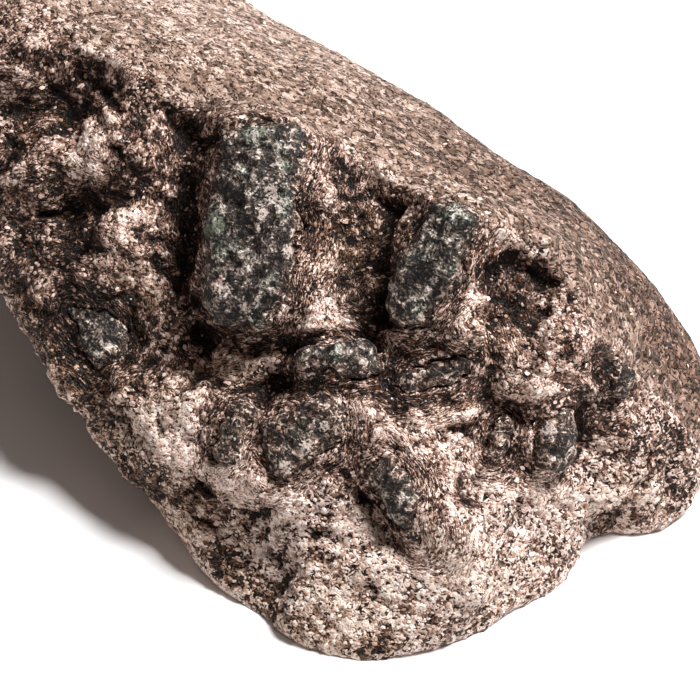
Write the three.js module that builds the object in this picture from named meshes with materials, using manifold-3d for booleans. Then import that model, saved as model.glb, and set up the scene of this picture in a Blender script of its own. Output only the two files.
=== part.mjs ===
// A rough alexandrite specimen: a water-worn lump of mica schist with dark alexandrite crystals
// standing in its front face. Millimetres, +Z up. X runs along the stone's crest, Y away from the
// rough front face, and the origin is the middle of the stone's footprint on the surface it lies on.
//
// The schist is one solid. It starts as a set of worn flats that meet in rounded edges, and lumps,
// hollows and grooves are then blended into it. Each large crystal is a solid of its own, seated
// in a pocket that is cut to its shape.
import * as THREE from "three";
import { ConvexGeometry } from "three/addons/geometries/ConvexGeometry.js";
import { ImprovedNoise } from "three/addons/math/ImprovedNoise.js";
import { mergeVertices } from "three/addons/utils/BufferGeometryUtils.js";
import Module from "manifold-3d";

// Driving dimensions.
const stoneHeight = 36; // of the crest above the surface
const edgeRounding = 2.2; // how softly the flats run into each other
const knobSize = 5.2; // between the knobs of the broken face
const knobHeight = 1.9; // of those knobs over the pits between them
const pocketGap = 0.3; // between a crystal and the pocket that holds it
const crystalSides = 10;
const fineStep = 1.97; // between the corners of the facets on the front face
const coarseStep = 4.4; // between them at the back and the far left
const footprintMiddle = new THREE.Vector3(-40.7, 24.1, 0); // from the near corner of the stone
const reach = 90; // farther from the middle than any point of the stone

// The front face is laid out as it is seen square on. This is that line of sight: across runs
// to the right, up runs up the face, and places on the face are given along the two, in millimetres.
const sightTurn = THREE.MathUtils.degToRad(41);
const sightRise = THREE.MathUtils.degToRad(40);
const across = new THREE.Vector3(Math.cos(sightTurn), Math.sin(sightTurn), 0);
const up = new THREE.Vector3(
  -Math.sin(sightTurn) * Math.sin(sightRise),
  Math.cos(sightTurn) * Math.sin(sightRise),
  Math.cos(sightRise),
);
const towards = new THREE.Vector3().crossVectors(across, up); // to the eye
const nearCorner = { across: 3, up: -31.5 }; // the near corner of the stone in that layout

// The flats. Each has the way it faces and a point on it, measured from the near corner.
const flats = [
  { name: "front face", faces: [0.166, -0.715, 0.679], through: [-15, -3.2, 1] },
  { name: "near end", faces: [0.87, -0.19, 0.43], through: [7.6, 23, 1] },
  { name: "front corner", faces: [0.6, -0.66, 0.45], through: [4.5, -5.8, 3.6] },
  { name: "top", faces: [0.069, 0.42, 0.905], through: [-34, 28, stoneHeight] },
  { name: "far shoulder", faces: [0.484, 0.59, 0.647], through: [-2.2, 45.4, 20.9] },
  { name: "back", faces: [0.02, 0.98, 0.2], through: [-40, 52.4, 10] },
  { name: "lower back", faces: [0.05, 0.72, -0.69], through: [-40, 49.6, 5] },
  { name: "underside", faces: [0, 0.02, -1], through: [-35, 26, -2.6] },
  { name: "front lip", faces: [-0.19, -0.85, -0.5], through: [-15, -5.4, 1] },
  { name: "undercut", faces: [-0.45, -0.7, -0.55], through: [-45.4, 3.5, 6.9] },
  { name: "left end", faces: [-0.86, -0.24, 0.45], through: [-89, 20, 22] },
  { name: "left back", faces: [-0.72, 0.66, 0.2], through: [-85, 40, 16] },
  { name: "left foot", faces: [-0.66, 0.12, -0.74], through: [-84, 30, 6] },
].map((flat) => ({
  normal: new THREE.Vector3(...flat.faces).normalize(),
  point: new THREE.Vector3(...flat.through),
}));

// Lumps stand out of the schist and hollows sink into it. place is [across, up] on the front face;
// size is [along, over, out]; turn is how far along is swung up from across, in degrees.
const lumps = [
  { name: "swelling round the block", place: [-9.5, 12.5], size: [25, 16, 5.5], turn: 88 },
  { name: "swelling round the dome", place: [8.6, 8.4], size: [18, 11, 5], turn: 66 },
  { name: "rib right of the dome", place: [12, 5], size: [13, 3, 3.4], turn: 82 },
  { name: "long rib to the right", place: [20.2, -3], size: [17, 3, 3], turn: 76 },
  { name: "rim over the right hollow", place: [17, 11.5], size: [13, 5, 3], turn: -28 },
  { name: "knob under the right hollow", place: [24, -1], size: [9, 8, 3], turn: 40 },
  { name: "swelling round the bar", place: [6.6, -14.5], size: [17, 9, 3.4], turn: -53 },
  { name: "swelling round the cluster", place: [-4.5, -8.5], size: [15, 13, 3.6], turn: 20 },
  { name: "pale knuckle", place: [-3.2, 3.4], size: [11, 4, 3], turn: -8 },
  { name: "lump above left", place: [-28, 20], size: [13, 9, 4], turn: 30 },
  { name: "lump left of the cleft", place: [-23, 12], size: [11, 9, 4], turn: 50 },
  { name: "lump at the left edge", place: [-28.5, 9], size: [10, 7, 2.6], turn: -10 },
  { name: "lump on the crest", place: [-24, 29], size: [14, 6, 3.4], turn: -26 },
  { name: "pale shoulder below", place: [-15, -7.5], size: [14, 9, 2.6], turn: -30 },
  { name: "lump by the near end", place: [27.5, -11], size: [10, 9, 3], turn: 60 },
  { name: "lump on the near corner", place: [3, -25], size: [22, 10, 2.4], turn: 10 },
  { name: "far left boss", place: [-39.5, 31.5], size: [17, 12, 3], turn: 20 },
];
const hollows = [
  { name: "cleft left of the block", place: [-17.4, 14.5], size: [19, 5.4, 4.6], turn: 86 },
  { name: "alcove right of the block", place: [0.8, 11], size: [15, 7, 5], turn: 84 },
  { name: "alcove foot", place: [3.4, 4.4], size: [6, 4, 5], turn: 70 },
  { name: "hollow right of the dome", place: [16.6, 6], size: [9, 7, 5], turn: 60 },
  { name: "scoop above the bar", place: [12, -10], size: [13, 8, 3], turn: 25 },
  { name: "hollow below the block", place: [-12, 0.2], size: [14, 6, 3.2], turn: 5 },
  { name: "trough by the bar", place: [3, -16], size: [9, 2.2, 1.5], turn: -53 },
  { name: "gap at the middle", place: [-9, -4.6], size: [7, 4, 2.4], turn: 60 },
  { name: "left hollow", place: [-28.5, 15.2], size: [9, 5, 2.6], turn: 20 },
  { name: "upper left hollow", place: [-29, 25.6], size: [11, 6, 2.2], turn: 10 },
  { name: "side groove", place: [-11, -19.2], size: [13, 3, 1.3], turn: -46 },
  { name: "notch in the near edge", place: [26.2, -18.4], size: [5, 3.2, 3.2], turn: 55 },
  { name: "dip by the tip", place: [24.5, -8], size: [7, 4, 3], turn: 70 },
];

// The large crystals. out is how far each stands out of the schist round it.
const crystals = [
  { name: "crystal_block", place: [-9.6, 13.2], size: [21, 11.8, 8.4], turn: 86, out: 2.3 },
  { name: "crystal_dome", place: [8.2, 8.4], size: [13.5, 7, 7], turn: 64, out: 2 },
  { name: "crystal_bar", place: [5.9, -15.2], size: [11, 4, 4.8], turn: -53, out: 1.8 },
  { name: "crystal_left", place: [-25.6, 1.6], size: [10.4, 6.6, 6], turn: -62, out: 1.6 },
  { name: "crystal_cluster", place: [-4.6, -8.4], size: [9, 7.6, 6], turn: 28, out: 1.3 },
  { name: "crystal_ledge", place: [-1.2, -1.4], size: [8.4, 4.2, 5], turn: 4, out: 1.2 },
  { name: "crystal_middle", place: [8.4, -2.2], size: [8.6, 4.2, 5], turn: 28, out: 1.1 },
  { name: "crystal_low_left", place: [-11.6, -8.6], size: [6.6, 4.4, 4.6], turn: 74, out: 1 },
  { name: "crystal_right", place: [20.8, -8.2], size: [7.6, 4.6, 5], turn: 78, out: 1.3 },
  { name: "crystal_shoulder", place: [26.9, -2.2], size: [4.6, 3.4, 4.2], turn: -50, out: 1 },
  { name: "crystal_pea", place: [15.3, -9.2], size: [5, 3, 4], turn: 66, out: 0.9 },
];

const noise = new ImprovedNoise();

// The least of two distances, with a soft run between them where they are within blend.
function softLeast(a, b, blend) {
  const near = Math.max(blend - Math.abs(a - b), 0) / blend;
  return Math.min(a, b) - (near * near * blend) / 4;
}

// How far a point is outside the worn flats, below zero within them.
function outsideFlats(point) {
  let sum = 0;
  for (const { normal, point: on } of flats) {
    const depth =
      normal.x * (point.x - on.x) + normal.y * (point.y - on.y) + normal.z * (point.z - on.z);
    sum += Math.exp(depth / edgeRounding);
  }
  return edgeRounding * Math.log(sum);
}

// The long, low waves that a river-worn stone keeps.
function waves(point) {
  const broad = noise.noise(point.x / 26, point.y / 19, point.z / 19);
  const close = noise.noise(point.x / 9 + 7, point.y / 8, point.z / 8);
  return 1.5 * broad + 0.7 * close;
}

// How far a point is outside an ellipsoid that lies in its own axes.
function outsideEllipsoid(point, { centre, axes, radii }) {
  const from = point.clone().sub(centre);
  const past = from.length() - Math.max(...radii);
  if (past > 4) return past;
  const local = axes.map((axis, i) => from.dot(axis) / radii[i]);
  const scaled = Math.hypot(...local);
  const slope = Math.hypot(...local.map((value, i) => value / radii[i]));
  return slope < 1e-9 ? -Math.min(...radii) : (scaled * (scaled - 1)) / slope;
}

// The way the surface of a distance function faces at a point.
function facing(distance, point) {
  const step = 0.2;
  const slopes = ["x", "y", "z"].map((axis) => {
    const ahead = point.clone();
    const behind = point.clone();
    ahead[axis] += step;
    behind[axis] -= step;
    return distance(ahead) - distance(behind);
  });
  return new THREE.Vector3(...slopes).normalize();
}

const wornFlats = (point) => outsideFlats(point) + waves(point);

// The point of a surface that is seen at a place on the front face, and axes that lie along it.
function seat({ name, place, turn }, distance) {
  const point = onSightPlane(place).addScaledVector(towards, reach);
  while (distance(point) > 0.01) {
    point.addScaledVector(towards, -0.7 * distance(point) - 0.01);
    if (point.length() > 3 * reach) throw new Error(name + " is placed off the stone");
  }
  const out = facing(wornFlats, point);
  const swing = THREE.MathUtils.degToRad(turn);
  const along = across
    .clone()
    .multiplyScalar(Math.cos(swing))
    .addScaledVector(up, Math.sin(swing))
    .projectOnPlane(out)
    .normalize();
  return { point, axes: [along, new THREE.Vector3().crossVectors(out, along), out] };
}

// A place on the front face as a point of the plane that is seen square on.
function onSightPlane([right, high]) {
  return new THREE.Vector3()
    .addScaledVector(across, right - nearCorner.across)
    .addScaledVector(up, high - nearCorner.up);
}

// A lump or hollow as an ellipsoid, centred on the bare stone's surface.
function blob(form) {
  const { point, axes } = seat(form, wornFlats);
  return { centre: point, axes, radii: form.size.map((size) => size / 2) };
}

const raised = lumps.map(blob);
const sunk = hollows.map(blob);

// How much a point belongs to the broken face: 1 in front of the crest, 0 on the worn back and foot.
function brokenness({ x, y, z }) {
  const beforeCrest = 35 + 0.17 * x - 0.12 * (z - 12) - y;
  return THREE.MathUtils.smoothstep(beforeCrest, -1, 5) * THREE.MathUtils.smoothstep(z, 2, 9);
}

// A fixed number from 0 to 1 that looks random, for a cell of space.
function chance(i, j, k, salt) {
  const mixed = Math.sin(i * 127.1 + j * 311.7 + k * 74.7 + salt * 57.3) * 43758.5453;
  return mixed - Math.floor(mixed);
}

// The knobs of the broken face: rounded grains with pits between them, from 0 to about 1.
function knobs(point) {
  const cell = [point.x, point.y, point.z].map((value) => value / knobSize);
  const [i, j, k] = cell.map(Math.floor);
  let height = 0;
  for (let di = -1; di <= 1; di++) {
    for (let dj = -1; dj <= 1; dj++) {
      for (let dk = -1; dk <= 1; dk++) {
        const [a, b, c] = [i + di, j + dj, k + dk];
        const away = Math.hypot(
          a + chance(a, b, c, 1) - cell[0],
          b + chance(a, b, c, 2) - cell[1],
          c + chance(a, b, c, 3) - cell[2],
        );
        const dome = Math.max(0, 1 - (away / 0.95) ** 2);
        height = Math.max(height, dome * (0.5 + 0.5 * chance(a, b, c, 4)));
      }
    }
  }
  return height;
}

// The whole schist: how far a point is outside it.
function outsideSchist(point) {
  let depth = wornFlats(point);
  for (const lump of raised) depth = softLeast(depth, outsideEllipsoid(point, lump), 3);
  for (const hollow of sunk) depth = -softLeast(-depth, outsideEllipsoid(point, hollow), 3.4);
  const broken = Math.abs(depth) < 8 ? brokenness(point) : 0;
  return broken > 0 ? depth + knobHeight * broken * (0.45 - knobs(point)) : depth;
}

// Evens out the facets: each corner moves towards its neighbours' middle and back onto the skin.
function evenOut(points, triangles, rounds) {
  const around = points.map(() => new Set());
  for (let i = 0; i < triangles.length; i += 3) {
    const corners = [triangles[i], triangles[i + 1], triangles[i + 2]];
    for (const a of corners) for (const b of corners) if (a !== b) around[a].add(b);
  }
  for (let round = 0; round < rounds; round++) {
    const middles = points.map((_, i) => {
      const middle = new THREE.Vector3();
      for (const j of around[i]) middle.add(points[j]);
      return middle.divideScalar(around[i].size);
    });
    points.forEach((point, i) => {
      point.lerp(middles[i], 0.5);
      for (let step = 0; step < 2; step++)
        point.addScaledVector(facing(outsideSchist, point), -0.9 * outsideSchist(point));
    });
  }
}

// Grid lines along one axis: a fine step apart over a stretch, and wider apart on past it.
function gridLines({ from, to, fineFrom, fineTo }) {
  const lines = [from];
  while (lines.at(-1) < to) {
    const at = lines.at(-1);
    const past = Math.max(fineFrom - at, at - fineTo, 0);
    lines.push(at + THREE.MathUtils.lerp(fineStep, coarseStep, Math.min(past / 10, 1)));
  }
  return lines;
}

// Where rock meets rock only along a grid edge, the skin would be pinched, so a corner is filled.
function fillPinches(depths, nx, ny) {
  const strides = [1, nx, nx * ny];
  const planes = [
    [0, 1],
    [1, 2],
    [0, 2],
  ];
  let filled = true;
  while (filled) {
    filled = false;
    for (let at = 0; at < depths.length - nx * (ny + 1); at++) {
      for (const [a, b] of planes) {
        const low = depths[at] < 0;
        const high = depths[at + strides[a] + strides[b]] < 0;
        const one = depths[at + strides[a]] < 0;
        const other = depths[at + strides[b]] < 0;
        if (low !== high || one !== other || low === one) continue;
        depths[low ? at + strides[a] : at] = -0.05;
        filled = true;
      }
    }
  }
}

// The skin of the schist. Space is cut into boxes. Each box that the surface passes through holds
// one corner of the skin, and the four boxes round each edge that it crosses share a facet.
function schistSkin() {
  const lines = [
    gridLines({ from: -100, to: 18, fineFrom: -62, fineTo: 10 }),
    gridLines({ from: -14, to: 60, fineFrom: -14, fineTo: 26 }),
    gridLines({ from: -9, to: 48, fineFrom: -9, fineTo: 48 }),
  ];
  const [nx, ny, nz] = lines.map((axis) => axis.length);
  const at = (i, j, k) => (k * ny + j) * nx + i;
  const depths = new Float32Array(nx * ny * nz);
  const point = new THREE.Vector3();
  for (let k = 0; k < nz; k++)
    for (let j = 0; j < ny; j++)
      for (let i = 0; i < nx; i++)
        depths[at(i, j, k)] = outsideSchist(point.set(lines[0][i], lines[1][j], lines[2][k]));
  fillPinches(depths, nx, ny);

  const steps = [
    [1, 0, 0],
    [0, 1, 0],
    [0, 0, 1],
  ];
  const sums = new Map();
  const facets = [];
  for (let k = 1; k < nz - 1; k++) {
    for (let j = 1; j < ny - 1; j++) {
      for (let i = 1; i < nx - 1; i++) {
        const here = depths[at(i, j, k)];
        for (let axis = 0; axis < 3; axis++) {
          const [di, dj, dk] = steps[axis];
          const there = depths[at(i + di, j + dj, k + dk)];
          if (here < 0 === there < 0) continue;
          const crossing = new THREE.Vector3(lines[0][i], lines[1][j], lines[2][k]);
          const end = new THREE.Vector3(lines[0][i + di], lines[1][j + dj], lines[2][k + dk]);
          crossing.lerp(end, here / (here - there));
          const [a, b] = [steps[(axis + 1) % 3], steps[(axis + 2) % 3]];
          const boxes = [
            [0, 0],
            [1, 0],
            [1, 1],
            [0, 1],
          ].map(([m, n]) =>
            at(i - m * a[0] - n * b[0], j - m * a[1] - n * b[1], k - m * a[2] - n * b[2]),
          );
          for (const box of boxes) {
            if (!sums.has(box)) sums.set(box, { total: new THREE.Vector3(), count: 0 });
            sums.get(box).total.add(crossing);
            sums.get(box).count++;
          }
          facets.push(here < 0 ? boxes : boxes.reverse());
        }
      }
    }
  }

  const places = new Map([...sums.keys()].map((box, place) => [box, place]));
  const points = [...sums.values()].map(({ total, count }) => total.divideScalar(count));
  const triangles = facets.flatMap((facet) => {
    const [a, b, c, d] = facet.map((box) => places.get(box));
    const shorter = points[a].distanceTo(points[c]) < points[b].distanceTo(points[d]);
    return shorter ? [a, b, c, a, c, d] : [a, b, d, b, c, d];
  });
  evenOut(points, triangles, 3);
  const skin = new THREE.BufferGeometry();
  skin.setFromPoints(points);
  skin.setIndex(triangles);
  return skin;
}

// A stubby crystal with bevelled, worn ends. Its length lies along x and it faces z.
function crystalForm([length, width, depth], seed) {
  const rings = [
    { at: -0.5, swell: 0.55 },
    { at: -0.38, swell: 0.9 },
    { at: 0, swell: 1 },
    { at: 0.4, swell: 0.86 },
    { at: 0.5, swell: 0.5 },
  ];
  const roundness = 0.62; // 1 makes the section an oval, 0 a box
  const bulge = (value) => Math.sign(value) * Math.abs(value) ** roundness;
  const corners = [];
  for (const { at, swell } of rings) {
    for (let side = 0; side < crystalSides; side++) {
      const angle = ((side + 0.5) * 2 * Math.PI) / crystalSides;
      const worn = 1 - 0.16 * chance(Math.round(at * 10), side, seed, 5);
      const y = (bulge(Math.cos(angle)) * swell * worn * width) / 2;
      const z = (bulge(Math.sin(angle)) * swell * worn * depth) / 2;
      corners.push(new THREE.Vector3(at * length, y, z));
    }
  }
  return new ConvexGeometry(corners);
}

const schistMaterial = new THREE.MeshStandardMaterial({
  color: 0x6f6058,
  roughness: 0.75,
  metalness: 0,
});
const alexandriteMaterial = new THREE.MeshStandardMaterial({
  color: 0x23302c,
  roughness: 0.4,
  metalness: 0,
});

// A crystal's mesh in its seat. extra widens it all round, for its pocket.
function crystalMesh(crystal, extra, material) {
  const { point, axes } = seat(crystal, outsideSchist);
  const size = crystal.size.map((side) => side + 2 * extra);
  const mesh = new THREE.Mesh(crystalForm(size, crystals.indexOf(crystal)), material);
  mesh.name = crystal.name;
  mesh.setRotationFromMatrix(new THREE.Matrix4().makeBasis(...axes));
  mesh.position.copy(point).addScaledVector(axes[2], crystal.out - crystal.size[2] / 2);
  return mesh;
}

const wasm = await Module();
wasm.setup();

// A mesh's geometry, where it lies, as a solid that can be cut.
function solidOf(mesh) {
  mesh.updateMatrixWorld(true);
  const bare = new THREE.BufferGeometry();
  bare.setAttribute("position", mesh.geometry.getAttribute("position").clone());
  if (mesh.geometry.index) bare.setIndex(mesh.geometry.index.clone());
  bare.applyMatrix4(mesh.matrixWorld);
  const merged = mergeVertices(bare, 1e-4);
  return new wasm.Manifold(
    new wasm.Mesh({
      numProp: 3,
      vertProperties: Float32Array.from(merged.getAttribute("position").array),
      triVerts: Uint32Array.from(merged.index.array),
    }),
  );
}

// A cut solid as three.js geometry.
function geometryOf(solid) {
  const { vertProperties, triVerts } = solid.getMesh();
  const geometry = new THREE.BufferGeometry();
  geometry.setAttribute("position", new THREE.BufferAttribute(vertProperties, 3));
  geometry.setIndex(new THREE.BufferAttribute(triVerts, 1));
  geometry.computeVertexNormals();
  return geometry;
}

// The schist, cut flat where it rests and hollowed into a pocket for each crystal.
function schistMatrix() {
  let solid = solidOf(new THREE.Mesh(schistSkin()));
  const ground = new THREE.Mesh(new THREE.BoxGeometry(3 * reach, 3 * reach, reach));
  ground.position.set(footprintMiddle.x, footprintMiddle.y, -reach / 2);
  solid = solid.subtract(solidOf(ground));
  for (const crystal of crystals) solid = solid.subtract(solidOf(crystalMesh(crystal, pocketGap)));
  const mesh = new THREE.Mesh(geometryOf(solid), schistMaterial);
  mesh.name = "schist_matrix";
  return mesh;
}

const specimen = new THREE.Group();
specimen.position.copy(footprintMiddle).negate();
specimen.add(schistMatrix());
for (const crystal of crystals) specimen.add(crystalMesh(crystal, 0, alexandriteMaterial));

export default specimen;
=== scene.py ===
# A rough alexandrite specimen: a river-worn lump of mica schist, smooth on its top and back and
# broken in front, where dark alexandrite crystals stand in a salt-and-pepper mass of mica flakes.
# Lengths are metres in the CAD model's frame. They are millimetres where the rock and the crystals
# are shaped, and in the places that their patterns read. The last number in each call of cloud and
# domes is its salt, which sets its pattern apart from the others.
import itertools
import math

import bmesh
import bpy
import numpy as np
from mathutils import Matrix, Vector
from mathutils.bvhtree import BVHTree


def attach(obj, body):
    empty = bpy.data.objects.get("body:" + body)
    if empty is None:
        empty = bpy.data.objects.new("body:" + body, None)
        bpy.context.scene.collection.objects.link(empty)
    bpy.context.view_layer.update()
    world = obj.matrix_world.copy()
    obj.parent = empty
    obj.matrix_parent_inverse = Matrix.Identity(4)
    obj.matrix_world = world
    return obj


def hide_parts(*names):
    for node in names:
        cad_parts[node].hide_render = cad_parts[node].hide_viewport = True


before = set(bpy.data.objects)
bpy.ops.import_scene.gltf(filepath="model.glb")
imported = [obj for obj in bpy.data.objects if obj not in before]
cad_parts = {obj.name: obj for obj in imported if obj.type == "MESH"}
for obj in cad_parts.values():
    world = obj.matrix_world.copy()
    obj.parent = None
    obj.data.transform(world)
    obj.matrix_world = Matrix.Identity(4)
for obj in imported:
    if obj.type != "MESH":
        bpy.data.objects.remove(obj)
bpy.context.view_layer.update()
scene = bpy.context.scene


# How the specimen is seen
# The camera looks down on the broken face from in front and to the right, from half a metre away
# with a long lens. The near corner of the stone is the point that places on the face start from.
sight_turn = math.radians(41)
sight_rise = math.radians(40)
across = Vector((math.cos(sight_turn), math.sin(sight_turn), 0))
towards = Vector((
    math.sin(sight_turn) * math.cos(sight_rise),
    -math.cos(sight_turn) * math.cos(sight_rise),
    math.sin(sight_rise),
))
upward = towards.cross(across)
near_corner = Vector((0.0407, -0.0241, 0))
corner_across, corner_up = 0.003, -0.0315
view_width = 0.070
eye_distance = 0.49


def new_object(name, data):
    """An object in the scene with the given mesh, lamp or camera."""
    made = bpy.data.objects.new(name, data)
    scene.collection.objects.link(made)
    return made


view_middle = near_corner - across * corner_across - upward * corner_up
camera_data = bpy.data.cameras.new("camera")
camera_data.sensor_width = 36
camera_data.lens = camera_data.sensor_width * eye_distance / view_width
camera_data.clip_start = 0.01
camera = new_object("camera", camera_data)
camera_turn = Matrix((across, upward, towards)).transposed()
camera.matrix_world = Matrix.Translation(view_middle + towards * eye_distance) @ camera_turn.to_4x4()
scene.camera = camera


# The body of schist
# One solid of packed mica flakes with grains of quartz and feldspar. The CAD solids are fused and
# remeshed, the side with the crystals is made finer, and the rock's own roughness is worked in.

# Voxel size, and rounds of smoothing after the remesh.
body_voxel, body_wear = 0.00068, 3
# The finer mesh covers faces that turn at least this far to the viewer, right of this place across
# the view, and above this height.
least_facing, farthest_left, foot_height = 0.08, -0.040, 0.0004
# Rounds of smoothing that show how deep small and broad hollows are.
small_hollows, broad_hollows = 26, 110
# Sizes and heights in millimetres, from the gap round each crystal's solid down to single grains.
pocket_gap = 0.3
rib_spacing, rib_height = 0.6, 0.06
knob_size, knob_height = 3.9, 0.52
lump_size, lump_height = 1.7, 0.40
grain_size, grain_height = (0.85, 0.6, 0.6), 0.15
broken_depth = 40
crystal_names = [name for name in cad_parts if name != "schist_matrix"]


def merged_copy(node_name):
    """A CAD node's mesh as a closed bmesh."""
    made = bmesh.new()
    made.from_mesh(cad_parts[node_name].data)
    bmesh.ops.remove_doubles(made, verts=made.verts, dist=1e-7)
    return made


def mesh_made_by(carrier):
    """The mesh that an object's modifiers make of it. The object itself is removed."""
    made = bpy.data.meshes.new_from_object(
        carrier.evaluated_get(bpy.context.evaluated_depsgraph_get())
    )
    bpy.data.objects.remove(carrier)
    return made


def remeshed(mesh, voxel, rounds):
    """An evenly meshed, slightly worn copy of a closed mesh."""
    carrier = new_object("remesh_carrier", mesh)
    even = carrier.modifiers.new("even", "REMESH")
    even.mode = "VOXEL"
    even.voxel_size = voxel
    wear = carrier.modifiers.new("wear", "SMOOTH")
    wear.iterations = rounds
    return mesh_made_by(carrier)


def points_of(mesh):
    """A mesh's vertices, in millimetres."""
    flat = np.empty(len(mesh.vertices) * 3)
    mesh.vertices.foreach_get("co", flat)
    return flat.reshape(-1, 3) * 1000


def normals_of(mesh):
    """A mesh's vertex normals."""
    flat = np.empty(len(mesh.vertices) * 3)
    mesh.vertex_normals.foreach_get("vector", flat)
    return flat.reshape(-1, 3)


def keep_on_mesh(mesh, name, values):
    """Stores a number or a direction for each vertex, for materials and scatters to read."""
    values = np.asarray(values, dtype=np.float32)
    if values.ndim == 1:
        mesh.attributes.new(name, "FLOAT", "POINT").data.foreach_set("value", values)
    else:
        mesh.attributes.new(name, "FLOAT_VECTOR", "POINT").data.foreach_set("vector", values.ravel())


def ramp(value, low, high):
    """0 below low, 1 above high, and a smooth run between them."""
    part = np.clip((value - low) / (high - low), 0, 1)
    return part * part * (3 - 2 * part)


def chance(cells, salt):
    """A fixed number from 0 to 1 that looks random, for each cell of space. Another salt gives
    other numbers."""
    spread = np.sin(cells @ np.array([127.1, 311.7, 74.7]) + salt * 57.3) * 43758.5453
    return spread - np.floor(spread)


def cloud(points, size, salt):
    """Smooth noise from -1 to 1, with swells about size across."""
    at = points / np.asarray(size)
    low = np.floor(at)
    part = at - low
    part = part * part * (3 - 2 * part)
    total = np.zeros(len(points))
    for corner in itertools.product((0, 1), repeat=3):
        weight = np.prod(np.where(corner, part, 1 - part), axis=1)
        total += weight * chance(low + corner, salt)
    return 2 * total - 1


def domes(points, size, salt):
    """Rounded knobs that meet in creases: how high each point is on its knob, from 1 at the top to
    about -0.5 in the creases, and the knob's own number."""
    at = points / np.asarray(size)
    low = np.floor(at)
    nearest = np.full(len(points), 9.0)
    number = np.zeros(len(points))
    for step in itertools.product((-1, 0, 1), repeat=3):
        cell = low + step
        middle = cell + np.stack([chance(cell, salt + k) for k in (1, 2, 3)], axis=1)
        away = ((middle - at) ** 2).sum(axis=1)
        closer = away < nearest
        nearest = np.where(closer, away, nearest)
        number = np.where(closer, chance(cell, salt + 4), number)
    return np.maximum(1 - 2.4 * nearest, -0.7), number


def depth_under_smooth(mesh, points, normals, rounds):
    """How deep each vertex lies under the same surface when it is smoothed out, in millimetres."""
    ends = np.empty(len(mesh.edges) * 2, dtype=np.int64)
    mesh.edges.foreach_get("vertices", ends)
    ends = ends.reshape(-1, 2)
    one, other = np.concatenate([ends[:, 0], ends[:, 1]]), np.concatenate([ends[:, 1], ends[:, 0]])
    count = np.maximum(np.bincount(one, minlength=len(points)), 1)
    smooth = points.copy()
    for _ in range(rounds):
        sums = [np.bincount(one, smooth[other, axis], minlength=len(points)) for axis in range(3)]
        smooth = 0.4 * smooth + 0.6 * np.stack(sums, axis=1) / count[:, None]
    return ((smooth - points) * normals).sum(axis=1)


def place_on_face(points):
    """How far across and up the view each point is, in millimetres."""
    from_corner = points - np.array(near_corner) * 1000
    right = from_corner @ np.array(across) + corner_across * 1000
    high = from_corner @ np.array(upward) + corner_up * 1000
    return right, high


def patches(right, high, spots):
    """The strongest of some soft round patches, each (across, up, radius, strength)."""
    most = np.zeros(len(right))
    for spot_across, spot_up, radius, strength in spots:
        away = np.hypot(right - spot_across, high - spot_up) / radius
        most = np.maximum(most, strength * (1 - ramp(away, 0.35, 1.15)))
    return most


def strokes(right, high, lines):
    """Ridges and grooves drawn on the face, each (height, half width, [(across, up), ...])."""
    total = np.zeros(len(right))
    for height, half_width, stops in lines:
        nearest = np.full(len(right), 99.0)
        for (x0, y0), (x1, y1) in zip(stops, stops[1:]):
            run = np.array([x1 - x0, y1 - y0])
            part = ((right - x0) * run[0] + (high - y0) * run[1]) / (run @ run)
            part = np.clip(part, 0, 1)
            away = np.hypot(right - x0 - part * run[0], high - y0 - part * run[1])
            nearest = np.minimum(nearest, away)
        total += height * np.exp(-((nearest / half_width) ** 2))
    return total


def crystal_planes():
    """The planes of each crystal, in millimetres: outward normals and how far out each one is."""
    found = {}
    for name in crystal_names:
        mesh = merged_copy(name)
        mesh.normal_update()
        planes = {}
        for face in mesh.faces:
            out = face.normal.normalized()
            planes[tuple(round(value, 3) for value in out)] = out.dot(face.verts[0].co) * 1000
        found[name] = (np.array(list(planes)), np.array(list(planes.values())))
        mesh.free()
    return found


planes_of = crystal_planes()


def outside_crystals(points):
    """How far each point is outside the nearest crystal, and the way out of that crystal."""
    nearest = np.full(len(points), 99.0)
    way_out = np.zeros((len(points), 3))
    for outward, plane_reach in planes_of.values():
        depths = points @ outward.T - plane_reach
        most = depths.argmax(axis=1)
        depth = depths[np.arange(len(points)), most]
        closer = depth < nearest
        nearest = np.where(closer, depth, nearest)
        way_out = np.where(closer[:, None], outward[most], way_out)
    return nearest, way_out


rock_shape = merged_copy("schist_matrix")
rock_tree = BVHTree.FromBMesh(rock_shape)
rock_shape.free()


def bare_crystal(points, from_crystal):
    """1 where a crystal stands clear of the rock and 0 where the rock laps over it or is away, and
    how high each point stands over the rim of the rock."""
    lap = 0.3 + 0.62 * cloud(points, 2.0, 41) + 0.25 * cloud(points, 0.8, 42)
    over_rim = np.zeros(len(points))
    for i in np.nonzero(from_crystal < 0.5)[0]:
        over_rim[i] = rock_tree.find_nearest(points[i] / 1000)[3] * 1000 - pocket_gap
    bare = np.clip((over_rim - lap + 0.1) / 0.35, 0, 1) * (1 - ramp(from_crystal, 0.15, 0.5))
    return bare, over_rim


# The crest between the worn top and the broken face, as it runs across the view.
crest_line = [
    (-37, 37), (-31.7, 35), (-28.8, 32.8), (-26.5, 31), (-20.7, 28.8), (-17.2, 25.6), (-15.6, 24.3),
    (-8.7, 24.3), (-6.2, 23.4), (-4.2, 21.8), (-0.2, 20.5), (7, 16.2), (12, 13.7), (19, 10.5),
    (22, 6), (25, 1), (29, -3), (35, -9), (40, -14),
]
# Where the shoulder of the worn top turns down to the back, as it runs across the view.
shoulder_line = [(5, 26), (13, 20), (25, 9), (30, 0), (35, -7), (40, -14)]
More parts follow.
